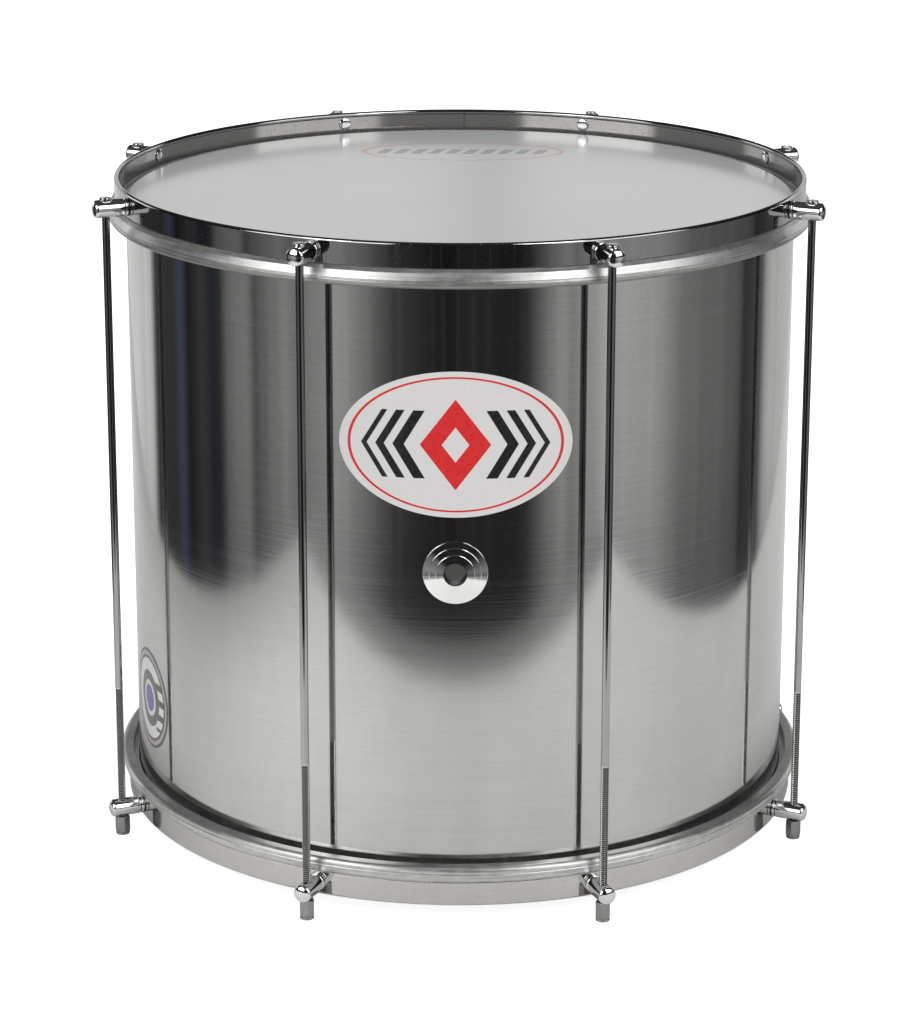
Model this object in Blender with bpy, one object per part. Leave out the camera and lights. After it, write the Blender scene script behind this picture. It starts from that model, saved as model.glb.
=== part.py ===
"""A surdo: a deep two-headed bass drum with a metal shell and eight straight tension rods.

Metres, +Z up. The origin is on the drum's axis, level with the lower faces of the nuts that the drum
stands on. The vent faces -Y. Turned shapes have flat facets whose middles lie on the true circle, and
the facets of the large rings face the rods, so that washers and posts seat flat on the bands.
"""
import math

import bmesh
import bpy
from mathutils import Matrix

# Shell, a rolled sheet whose two edges turn inward
SHELL_RADIUS = 0.254
SHELL_LENGTH = 0.4552
SHELL_WALL = 0.0012
BEARING_EDGE_ROLL = 0.004
BEARING_EDGE_LIP = 0.004
BEARING_EDGE_DROP = 0.0014

# Heads, films whose rims end in a bead
FILM_THICKNESS = 0.0004
FILM_SKIRT = 0.0072
FILM_FLARE = 0.0052
FILM_BEAD_RADIUS = 0.0011

# Flesh hoops, which hold the films' beads in an inner channel
FLESH_HOOP_HEIGHT = 0.0132
FLESH_HOOP_ROOM = 0.0041
FLESH_HOOP_LIP = 0.0054
FLESH_SHOULDER_DROP = 0.0022
FLESH_BEAD_HEIGHT = 0.0052
FLESH_BEAD_INSET = 0.0004
FLESH_BEAD_LEAN = 0.0018
FLESH_GROOVE_HEIGHT = 0.0013
FLESH_GROOVE_DEPTH = 0.0005
FLESH_CORNER = 0.0034

# Counterhoops, flat bands with a hemmed free edge
BAND_OVER_FILM = 0.0057
BAND_WALL = 0.002
BAND_HEIGHT = 0.018
BAND_HEM_RADIUS = 0.002
HEAD_RECESS = 0.0157

# Posts on the bands, and the washers under them
ROD_COUNT = 8
ROD_STANDOFF = 0.0165
POST_RADIUS = 0.0067
POST_INSET = 0.0095
POST_SHOULDER = 0.0015
POST_CORNER = 0.0026
POST_CORNER_OFFSET = 0.0065
POST_CORNER_ANGLE = 62
POST_SEAT_DEPTH = 0.0009
WASHER_THICKNESS = 0.0022
TENON_RADIUS = 0.0032
PEENED_HEAD_RADIUS = 0.005
PEENED_HEAD_THICKNESS = 0.0012

# Tension rods and nuts, M6
THREAD_RADIUS = 0.003
SHANK_RADIUS = 0.0029
THREADED_LENGTH = 0.1175
ROD_HEAD_RADIUS = 0.0045
ROD_HEAD_HEIGHT = 0.0024
ROD_HEAD_CHAMFER = 0.0006
ROD_SLOT_WIDTH = 0.0014
ROD_SLOT_DEPTH = 0.0012
ROD_END_INSIDE_NUT = 0.0015
ROD_END_CHAMFER = 0.0006
NUT_ACROSS_FLATS = 0.010
NUT_HEIGHT = 0.0145
NUT_CHAMFER = 0.0006
NUT_COLLAR_RADIUS = 0.0052
NUT_COLLAR_HEIGHT = 0.0018

# Vent in the front of the shell
VENT_HEIGHT = 0.2336
VENT_RADIUS = 0.023
VENT_STEP_RADIUS = 0.0184
VENT_BOSS_RADIUS = 0.0138
VENT_BORE_RADIUS = 0.008
VENT_PLATE_THICKNESS = 0.00195
VENT_STEP_HEIGHT = 0.0017
VENT_BOSS_HEIGHT = 0.00195
VENT_FACE_FALL = 0.00115
VENT_EDGE_CHAMFER = 0.0005
VENT_NECK_WALL = 0.0014
VENT_NECK_STANDS_PROUD = 0.0012
VENT_RING_WIDTH = 0.0045
VENT_RING_THICKNESS = 0.002

# Clearances
TOUCH_GAP = 0.0003
ROD_CLEARANCE = 0.0003
ROD_HEAD_CLEARANCE = 0.0004
TENON_CLEARANCE = 0.0003
NECK_CLEARANCE = 0.0003

# Facets round a turned piece
RING_FACETS = 6 * ROD_COUNT
ROUND_FACETS = 12
VENT_FACETS = 16
HEX = 6

# Heights, from the nuts' lower faces up
LOWER_POST_HEIGHT = NUT_HEIGHT + TOUCH_GAP + POST_RADIUS
LOWER_EDGE = LOWER_POST_HEIGHT - POST_INSET
LOWER_HEAD_FACE = LOWER_EDGE + HEAD_RECESS
FILM_LIFT = FILM_THICKNESS + TOUCH_GAP
SHELL_FOOT = LOWER_HEAD_FACE + FILM_LIFT
SHELL_TOP = SHELL_FOOT + SHELL_LENGTH
UPPER_HEAD_FACE = SHELL_TOP + FILM_LIFT
UPPER_EDGE = UPPER_HEAD_FACE + HEAD_RECESS
UPPER_POST_HEIGHT = UPPER_EDGE - POST_INSET

# Radii, from the shell outward
FILM_RADIUS = SHELL_RADIUS + FILM_LIFT
BAND_INNER_RADIUS = FILM_RADIUS + BAND_OVER_FILM
BAND_RADIUS = BAND_INNER_RADIUS + BAND_WALL
FLESH_HOOP_INNER_RADIUS = FILM_RADIUS + FLESH_HOOP_ROOM
FLESH_HOOP_RADIUS = BAND_RADIUS + FLESH_HOOP_LIP
ROD_CIRCLE_RADIUS = BAND_RADIUS + ROD_STANDOFF
ROD_HOLE_RADIUS = THREAD_RADIUS + ROD_CLEARANCE
VENT_NECK_RADIUS = VENT_BORE_RADIUS + VENT_NECK_WALL
VENT_CENTRE = SHELL_FOOT + VENT_HEIGHT

# Long enough for a cutter to pass right through what it cuts
THROUGH = 0.03

Z_TO_FRONT = Matrix.Rotation(math.radians(90), 4, "X")


def empty_scene():
    for thing in list(bpy.data.objects):
        bpy.data.objects.remove(thing)


def finish(name, color, roughness, metallic):
    """A plain material for one kind of piece."""
    material = bpy.data.materials.new(name)
    material.use_nodes = True
    shader = material.node_tree.nodes["Principled BSDF"]
    shader.inputs["Base Color"].default_value = (*color, 1.0)
    shader.inputs["Roughness"].default_value = roughness
    shader.inputs["Metallic"].default_value = metallic
    material.diffuse_color = (*color, 1.0)
    return material


def arc(centre_radius, centre_height, radius, start, end, steps):
    """Points of an arc in a turned outline. Angles are in degrees, 0 outward and 90 up."""
    angles = [math.radians(start + (end - start) * i / steps) for i in range(steps + 1)]
    return [(centre_radius + radius * math.cos(a), centre_height + radius * math.sin(a)) for a in angles]


def turned(outline, facets):
    """Spin an outline of (radius, height) points about Z into a closed mesh.

    An outline that starts on the axis also ends there. Any other outline is a closed section.
    """
    start = math.pi / facets
    grow = 1.0 / math.cos(start)
    bm = bmesh.new()
    points = [
        bm.verts.new((radius * grow * math.cos(start), radius * grow * math.sin(start), height))
        for radius, height in outline
    ]
    edges = [bm.edges.new(pair) for pair in zip(points, points[1:])]
    if outline[0][0] > 0.0:
        edges.append(bm.edges.new((points[-1], points[0])))
    outline_geometry = points + edges
    full_turn = 2 * math.pi
    axis = (0, 0, 1)
    centre = (0, 0, 0)
    bmesh.ops.spin(
        bm, geom=outline_geometry, axis=axis, cent=centre, angle=full_turn, steps=facets, use_merge=True
    )
    bmesh.ops.remove_doubles(bm, verts=bm.verts, dist=0.000001)
    bmesh.ops.recalc_face_normals(bm, faces=bm.faces)
    mesh = bpy.data.meshes.new("turned")
    bm.to_mesh(mesh)
    bm.free()
    return mesh


def cylinder(radius, low, high, facets=ROUND_FACETS):
    return turned([(0, low), (radius, low), (radius, high), (0, high)], facets)


def moved(mesh, matrix):
    mesh.transform(matrix)
    return mesh


def joined(meshes):
    """Several meshes as one, each still its own closed body."""
    bm = bmesh.new()
    for mesh in meshes:
        bm.from_mesh(mesh)
    result = bpy.data.meshes.new("joined")
    bm.to_mesh(result)
    bm.free()
    return result


def combined(mesh, other, operation):
    """The Boolean of two closed meshes, as a new mesh."""
    body = bpy.data.objects.new("body", mesh)
    tool = bpy.data.objects.new("tool", other)
    bpy.context.scene.collection.objects.link(body)
    bpy.context.scene.collection.objects.link(tool)
    boolean = body.modifiers.new("boolean", "BOOLEAN")
    boolean.operation = operation
    boolean.solver = "EXACT"
    boolean.object = tool
    evaluated = body.evaluated_get(bpy.context.evaluated_depsgraph_get())
    result = bpy.data.meshes.new_from_object(evaluated)
    bpy.data.objects.remove(body)
    bpy.data.objects.remove(tool)
    return result


def piece(name, mesh, material, location=(0, 0, 0), turn=(0, 0, 0), parent=None):
    """One object of the drum, with round faces shaded smooth. Pieces may share a mesh."""
    mesh.name = name
    mesh.shade_smooth()
    mesh.set_sharp_from_angle(angle=math.radians(35))
    if not mesh.materials:
        mesh.materials.append(material)
    thing = bpy.data.objects.new(name, mesh)
    thing.location = location
    thing.rotation_euler = turn
    thing.parent = parent
    bpy.context.scene.collection.objects.link(thing)
    return thing


def rod_angles():
    """Angles of the rods about +Z, from -Y. The vent is midway between two of them."""
    return [2 * math.pi * (i + 0.5) / ROD_COUNT for i in range(ROD_COUNT)]


def on_rod_circle(angle, height):
    return (ROD_CIRCLE_RADIUS * math.sin(angle), -ROD_CIRCLE_RADIUS * math.cos(angle), height)


def upside_down(outline, middle):
    """The same outline with its heights mirrored about a level."""
    return [(radius, 2 * middle - height) for radius, height in outline]


def shell_end(thickness_inside):
    """Half of the shell's section at its top edge, from the wall to the tip of the rolled lip."""
    roll = BEARING_EDGE_ROLL
    centre = SHELL_RADIUS - roll
    points = arc(centre, SHELL_TOP - roll, roll - thickness_inside, 0, 90, 2)
    points.append((centre - BEARING_EDGE_LIP, SHELL_TOP - BEARING_EDGE_DROP - thickness_inside))
    return points


def build_shell(material):
    middle = (SHELL_FOOT + SHELL_TOP) / 2
    outside = shell_end(0.0)
    inside = shell_end(SHELL_WALL)
    top = outside + inside[::-1]
    foot = upside_down(top[::-1], middle)
    wall = turned(top + foot, RING_FACETS)
    hole_radius = VENT_NECK_RADIUS + NECK_CLEARANCE
    hole = cylinder(hole_radius, SHELL_RADIUS - THROUGH, SHELL_RADIUS + THROUGH, VENT_FACETS)
    hole = moved(hole, Matrix.Translation((0, 0, VENT_CENTRE)) @ Z_TO_FRONT)
    piece("shell", combined(wall, hole, "DIFFERENCE"), material)


def head_outline():
    """The upper film, from the middle of its face to its bead and back along its underside."""
    centre = SHELL_RADIUS - BEARING_EDGE_ROLL
    level = SHELL_TOP - BEARING_EDGE_ROLL
    over = BEARING_EDGE_ROLL + TOUCH_GAP
    turn_down = UPPER_HEAD_FACE - FILM_SKIRT
    turn_in = turn_down - FILM_THICKNESS
    bead = FILM_RADIUS + FILM_FLARE
    bead_level = turn_down - FILM_THICKNESS / 2
    points = [(0, UPPER_HEAD_FACE)]
    points += arc(centre, level, over + FILM_THICKNESS, 90, 0, 2)
    points.append((FILM_RADIUS, turn_down))
    points += arc(bead, bead_level, FILM_BEAD_RADIUS, 150, -150, 3)
    points.append((FILM_RADIUS - FILM_THICKNESS, turn_in))
    points += arc(centre, level, over, 0, 90, 2)
    points.append((0, UPPER_HEAD_FACE - FILM_THICKNESS))
    return points


def flesh_hoop_outline():
    """The upper flesh hoop, from its ledge down the outside and up its channelled inside."""
    ledge = UPPER_EDGE - BAND_HEIGHT - TOUCH_GAP
    under = ledge - FLESH_HOOP_HEIGHT
    outer = FLESH_HOOP_RADIUS
    shoulder = ledge - FLESH_SHOULDER_DROP
    groove = shoulder - FLESH_BEAD_HEIGHT
    bead = outer - FLESH_BEAD_INSET
    channel_level = UPPER_HEAD_FACE - FILM_SKIRT - FILM_THICKNESS / 2
    channel_half = FILM_BEAD_RADIUS + TOUCH_GAP
    channel_radius = FILM_RADIUS + FILM_FLARE + FILM_BEAD_RADIUS + TOUCH_GAP
    side = [
        (FLESH_HOOP_INNER_RADIUS, ledge),
        (BAND_RADIUS + TOUCH_GAP, ledge),
        (bead - FLESH_BEAD_LEAN, shoulder),
        (bead, groove),
        (bead - FLESH_GROOVE_DEPTH, groove - FLESH_GROOVE_HEIGHT / 2),
        (outer, groove - FLESH_GROOVE_HEIGHT),
    ]
    corner = arc(outer - FLESH_CORNER, under + FLESH_CORNER, FLESH_CORNER, 0, -90, 2)
    channel = [
        (FLESH_HOOP_INNER_RADIUS, under),
        (FLESH_HOOP_INNER_RADIUS, channel_level - channel_half),
        (channel_radius, channel_level - channel_half),
        (channel_radius, channel_level + channel_half),
        (FLESH_HOOP_INNER_RADIUS, channel_level + channel_half),
    ]
    return side + corner + channel


def band_outline():
    """The upper counterhoop: a flat band whose free edge is rolled inward."""
    hem_angle = math.degrees(math.acos((BAND_HEM_RADIUS - BAND_WALL) / BAND_HEM_RADIUS))
    hem_radius = BAND_RADIUS - BAND_HEM_RADIUS
    hem = arc(hem_radius, UPPER_EDGE - BAND_HEM_RADIUS, BAND_HEM_RADIUS, 0, 360 - hem_angle, 6)
    foot = UPPER_EDGE - BAND_HEIGHT
    return [(BAND_INNER_RADIUS, foot), (BAND_RADIUS, foot)] + hem


def build_rings(film, flesh_metal, band_metal, lift):
    """Each ring once at the top and once, upside down, at the foot."""
    middle = (LOWER_EDGE + UPPER_EDGE) / 2
    tenon_holes = [
        moved(
            cylinder(TENON_RADIUS + TENON_CLEARANCE, BAND_RADIUS - THROUGH, BAND_RADIUS + THROUGH),
            Matrix.Rotation(angle, 4, "Z") @ Matrix.Translation((0, 0, UPPER_POST_HEIGHT)) @ Z_TO_FRONT,
        )
        for angle in rod_angles()
    ]
    band = combined(turned(band_outline(), RING_FACETS), joined(tenon_holes), "DIFFERENCE")
    flip = Matrix.Translation((0, 0, 2 * middle)) @ Matrix.Rotation(math.pi, 4, "Y")
    piece("top_head", turned(head_outline(), RING_FACETS), film)
    piece("bottom_head", turned(upside_down(head_outline(), middle), RING_FACETS), film)
    piece("top_flesh_hoop", turned(flesh_hoop_outline(), RING_FACETS), flesh_metal)
    piece("bottom_flesh_hoop", turned(upside_down(flesh_hoop_outline(), middle), RING_FACETS), flesh_metal)
    piece("top_counterhoop", band, band_metal, parent=lift)
    piece("bottom_counterhoop", moved(band.copy(), flip), band_metal)


def post_mesh():
    """A post that points to the front. Its origin is where its own axis crosses the rod's."""
    peened_out = BAND_INNER_RADIUS - TOUCH_GAP - ROD_CIRCLE_RADIUS
    peened_in = peened_out - PEENED_HEAD_THICKNESS
    foot = TOUCH_GAP + WASHER_THICKNESS + TOUCH_GAP - ROD_STANDOFF
    outline = [
        (0, peened_in),
        (PEENED_HEAD_RADIUS, peened_in),
        (PEENED_HEAD_RADIUS, peened_out),
        (TENON_RADIUS, peened_out),
        (TENON_RADIUS, foot),
        (POST_RADIUS - POST_SHOULDER, foot),
        (POST_RADIUS, foot + POST_SHOULDER),
    ]
    angle = math.radians(POST_CORNER_ANGLE)
    outline += arc(POST_RADIUS - POST_CORNER, POST_CORNER_OFFSET, POST_CORNER, 0, POST_CORNER_ANGLE, 2)
    dome = outline[-1][0] / math.cos(angle)
    dome_centre = outline[-1][1] - dome * math.sin(angle)
    outline += arc(0, dome_centre, dome, POST_CORNER_ANGLE, 90, 2)[1:-1]
    outline.append((0, dome_centre + dome))
    body = moved(turned(outline, ROUND_FACETS), Z_TO_FRONT)
    seat = POST_RADIUS - POST_SEAT_DEPTH
    seat_radius = ROD_HEAD_RADIUS + ROD_HEAD_CLEARANCE
    hole = turned(
        [(0, -THROUGH), (ROD_HOLE_RADIUS, -THROUGH), (ROD_HOLE_RADIUS, seat), (seat_radius, seat)]
        + [(seat_radius, THROUGH), (0, THROUGH)],
        ROUND_FACETS,
    )
    return combined(body, hole, "DIFFERENCE")


def washer_mesh():
    """A washer between a post and its band, in the post's own frame."""
    near = TOUCH_GAP - ROD_STANDOFF
    far = near + WASHER_THICKNESS
    hole = TENON_RADIUS + TENON_CLEARANCE
    outline = [(hole, near), (POST_RADIUS, near), (POST_RADIUS, far), (hole, far)]
    return moved(turned(outline, ROUND_FACETS), Z_TO_FRONT)


def rod_mesh():
    """A rod with its origin at its threaded end."""
    seat = UPPER_POST_HEIGHT + POST_RADIUS - POST_SEAT_DEPTH + TOUCH_GAP - ROD_END_INSIDE_NUT
    top = seat + ROD_HEAD_HEIGHT
    outline = [
        (0, 0),
        (THREAD_RADIUS - ROD_END_CHAMFER, 0),
        (THREAD_RADIUS, ROD_END_CHAMFER),
        (THREAD_RADIUS, THREADED_LENGTH),
        (SHANK_RADIUS, THREADED_LENGTH),
        (SHANK_RADIUS, seat),
        (ROD_HEAD_RADIUS, seat),
        (ROD_HEAD_RADIUS, top - ROD_HEAD_CHAMFER),
        (ROD_HEAD_RADIUS - ROD_HEAD_CHAMFER, top),
        (0, top),
    ]
    slot = bmesh.new()
    bmesh.ops.create_cube(slot, size=1.0)
    bmesh.ops.scale(slot, vec=(ROD_SLOT_WIDTH, 4 * ROD_HEAD_RADIUS, 2 * ROD_SLOT_DEPTH), verts=slot.verts)
    bmesh.ops.translate(slot, vec=(0, 0, top), verts=slot.verts)
    slot_mesh = bpy.data.meshes.new("slot")
    slot.to_mesh(slot_mesh)
    slot.free()
    return combined(turned(outline, ROUND_FACETS), slot_mesh, "DIFFERENCE")


def nut_mesh():
    """A long hexagonal nut on a round collar, with its origin on its axis at its lower face."""
    flat = NUT_ACROSS_FLATS / 2
    outline = [
        (0, NUT_COLLAR_HEIGHT / 2),
        (flat - NUT_CHAMFER, NUT_COLLAR_HEIGHT / 2),
        (flat - NUT_CHAMFER, NUT_COLLAR_HEIGHT),
        (flat, NUT_COLLAR_HEIGHT + NUT_CHAMFER),
        (flat, NUT_HEIGHT - NUT_CHAMFER),
        (flat - NUT_CHAMFER, NUT_HEIGHT),
        (0, NUT_HEIGHT),
    ]
    collar = cylinder(NUT_COLLAR_RADIUS, 0, NUT_COLLAR_HEIGHT)
    body = combined(turned(outline, HEX), collar, "UNION")
    bore = cylinder(ROD_HOLE_RADIUS, -THROUGH, THROUGH)
    return combined(body, bore, "DIFFERENCE")


def build_tension_sets(post_metal, rod_metal, nut_metal, lift):
    """Per rod: two posts, two washers, the rod and its nut."""
    post = post_mesh()
    washer = washer_mesh()
    rod = rod_mesh()
    nut = nut_mesh()
    for i, angle in enumerate(rod_angles(), start=1):
        upright = (0, 0, angle)
        flipped = (0, math.pi, angle)
        upper = on_rod_circle(angle, UPPER_POST_HEIGHT)
        lower = on_rod_circle(angle, LOWER_POST_HEIGHT)
        piece(f"top_post_{i}", post, post_metal, upper, upright, lift)
        piece(f"top_washer_{i}", washer, post_metal, upper, upright, lift)
        piece(f"bottom_post_{i}", post, post_metal, lower, flipped)
        piece(f"bottom_washer_{i}", washer, post_metal, lower, flipped)
        piece(f"tension_rod_{i}", rod, rod_metal, on_rod_circle(angle, ROD_END_INSIDE_NUT), upright, lift)
        piece(f"tension_nut_{i}", nut, nut_metal, on_rod_circle(angle, 0.0), upright)


def build_vent(metal):
    """The vent's stepped, sloping escutcheon lies on the shell, and a ring inside holds its neck."""
    front = Matrix.Translation((0, 0, VENT_CENTRE)) @ Z_TO_FRONT
    back = SHELL_RADIUS + TOUCH_GAP
    face = back + VENT_PLATE_THICKNESS
    step = face + VENT_STEP_HEIGHT
    boss = step + VENT_BOSS_HEIGHT
    behind = back - VENT_RADIUS
    soft = VENT_EDGE_CHAMFER
    outline = [(0, behind), (VENT_RADIUS, behind)]
    for rim, top, inner in (
        (VENT_RADIUS, face, VENT_STEP_RADIUS),
        (VENT_STEP_RADIUS, step, VENT_BOSS_RADIUS),
        (VENT_BOSS_RADIUS, boss, VENT_BORE_RADIUS),
    ):
        edge = top - VENT_FACE_FALL
        outline += [(rim, edge - soft), (rim - soft, edge), (inner, top)]
    outline.append((0, boss))
    plate = moved(turned(outline, VENT_FACETS), front)
    plate = combined(plate, cylinder(back, 0, UPPER_EDGE, RING_FACETS), "DIFFERENCE")
    wall_inside = SHELL_RADIUS - SHELL_WALL
    ring_front = wall_inside - TOUCH_GAP
    ring_back = ring_front - VENT_RING_THICKNESS
    neck_end = ring_back - VENT_NECK_STANDS_PROUD
    neck = moved(cylinder(VENT_NECK_RADIUS, neck_end, face, VENT_FACETS), front)
    bore = moved(cylinder(VENT_BORE_RADIUS, neck_end - THROUGH, boss + THROUGH, VENT_FACETS), front)
    escutcheon = combined(combined(plate, neck, "UNION"), bore, "DIFFERENCE")
    piece("vent_escutcheon", escutcheon, metal)
    hole = VENT_NECK_RADIUS + NECK_CLEARANCE
    ring = moved(cylinder(hole + VENT_RING_WIDTH, ring_back, SHELL_RADIUS, VENT_FACETS), front)
    ring = combined(ring, cylinder(ring_front, 0, UPPER_EDGE, RING_FACETS), "INTERSECT")
    passage = moved(cylinder(hole, ring_back - THROUGH, SHELL_RADIUS, VENT_FACETS), front)
    piece("vent_backing_ring", combined(ring, passage, "DIFFERENCE"), metal)


def main():
    empty_scene()
    chrome = finish("chrome", (0.80, 0.81, 0.82), 0.08, 1.0)
    rod_chrome = finish("rod_chrome", (0.76, 0.77, 0.78), 0.16, 1.0)
    zinc = finish("zinc", (0.52, 0.52, 0.51), 0.38, 1.0)
    bare_aluminium = finish("bare_aluminium", (0.62, 0.62, 0.61), 0.34, 1.0)
    shell_metal = finish("shell_metal", (0.78, 0.79, 0.80), 0.14, 1.0)
    milky_film = finish("milky_film", (0.74, 0.75, 0.76), 0.36, 0.0)

    lift = bpy.data.objects.new("top_hoop_lift", None)
    bpy.context.scene.collection.objects.link(lift)
    build_shell(shell_metal)
    build_rings(milky_film, bare_aluminium, chrome, lift)
    build_tension_sets(chrome, rod_chrome, zinc, lift)
    build_vent(chrome)


main()
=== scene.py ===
"""A surdo on a white studio table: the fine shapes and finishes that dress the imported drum."""
import math

import bmesh
import bpy
from mathutils import Matrix, Vector


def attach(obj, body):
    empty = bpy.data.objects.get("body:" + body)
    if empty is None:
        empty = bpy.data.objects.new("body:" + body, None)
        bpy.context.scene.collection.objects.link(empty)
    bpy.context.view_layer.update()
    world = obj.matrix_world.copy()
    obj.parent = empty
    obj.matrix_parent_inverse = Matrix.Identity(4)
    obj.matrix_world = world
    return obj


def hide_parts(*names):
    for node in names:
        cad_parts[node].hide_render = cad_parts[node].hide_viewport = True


MM = 0.001

# Heights in millimetres, from the nuts' lower faces up
ROD_END_Z = 1.5
LOWER_EDGE_Z = 12.0
NUT_HEIGHT = 14.5
LOWER_POST_Z = 21.5
SHELL_FOOT_Z = 28.4
VENT_Z = 262.0
FLESH_UNDER_Z = 468.5
FLESH_LEDGE_Z = 481.7
SHELL_TOP_Z = 483.6
UPPER_HEAD_Z = 484.3
UPPER_POST_Z = 490.5
UPPER_EDGE_Z = 500.0
MIDDLE_Z = (LOWER_EDGE_Z + UPPER_EDGE_Z) / 2

# Radii in millimetres
SHELL_RADIUS = 254.0
FILM_RADIUS = 254.7
BAND_INNER_RADIUS = 260.4
BAND_RADIUS = 262.4
FLESH_HOOP_INNER = 258.8
FLESH_HOOP_RADIUS = 267.8
ROD_CIRCLE_RADIUS = 278.9
VENT_NECK_RADIUS = 9.4
VENT_BORE_RADIUS = 7.8
POST_RADIUS = 6.7
TENON_RADIUS = 3.2
ROD_RADIUS = 2.9
ROD_HOLE_RADIUS = 3.3
ROD_HEAD_RADIUS = 4.5
THREAD_CORE = 2.4
THREAD_CREST = 3.0

# Other sizes in millimetres
SHELL_WALL = 1.2
LIP_RADIUS = 4.0
LIP_CENTRE_RADIUS = SHELL_RADIUS - LIP_RADIUS
LIP_CENTRE_Z = SHELL_TOP_Z - LIP_RADIUS
FILM_THICKNESS = 0.4
BAND_HEIGHT = 18.0
BAND_TO_ROD = ROD_CIRCLE_RADIUS - BAND_RADIUS
SEAT_DEPTH = 0.9
CLEARANCE = 0.3
THREAD_LENGTH = 117.5
THREAD_PITCH = 1.5
NUT_FLATS = 10.0

ROD_COUNT = 8
# How far each rod's slot is turned, in degrees
ROD_SLOT_TURNS = (78, 20, 65, 110, 150, 40, 125, 96)

# Ink colours of the badge and the sticker
WHITE = (0.67, 0.655, 0.65)
RED = (0.66, 0.006, 0.009)
BLACK = (0.004, 0.004, 0.005)

# Studio softboxes: direction from the front and half its width, height angle and half of it, brightness
SOFTBOXES = (
    (-47, 25, 26, 15, 3.2),
    (54, 24, 26, 15, 2.6),
    (-128, 10, 12, 10, 1.6),
    (142, 12, 12, 10, 1.6),
    (-160, 20, 12, 7, 0.75),
    (160, 20, 12, 7, 0.75),
)
ROOM_RADIUS = 9.0

# Steps of the turned shapes
RING_STEPS = 256
PLATE_STEPS = 128
VENT_STEPS = 64
SMALL_STEPS = 48
HOLE_STEPS = 32
PIN_STEPS = 24

# Distances in metres at which points are the same, and the angle from which an edge is sharp
SAME_POINT = 0.000001
SAME_THREAD_POINT = 0.000002
SHARP_ANGLE = math.radians(32)

# The parts of a vector
X, Y, Z = 0, 1, 2
Z_TO_FRONT = Matrix.Rotation(math.radians(90), 4, "X")


class Value:
    """A socket of a finish's nodes. Expressions on values add Math nodes."""

    def __init__(self, finish, socket):
        self.finish = finish
        self.socket = socket

    def __add__(self, other):
        return self.finish.maths("ADD", self, other)

    def __radd__(self, other):
        return self.finish.maths("ADD", other, self)

    def __sub__(self, other):
        return self.finish.maths("SUBTRACT", self, other)

    def __rsub__(self, other):
        return self.finish.maths("SUBTRACT", other, self)

    def __mul__(self, other):
        return self.finish.maths("MULTIPLY", self, other)

    def __rmul__(self, other):
        return self.finish.maths("MULTIPLY", other, self)

    def __truediv__(self, other):
        return self.finish.maths("DIVIDE", self, other)

    def __rtruediv__(self, other):
        return self.finish.maths("DIVIDE", other, self)


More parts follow.
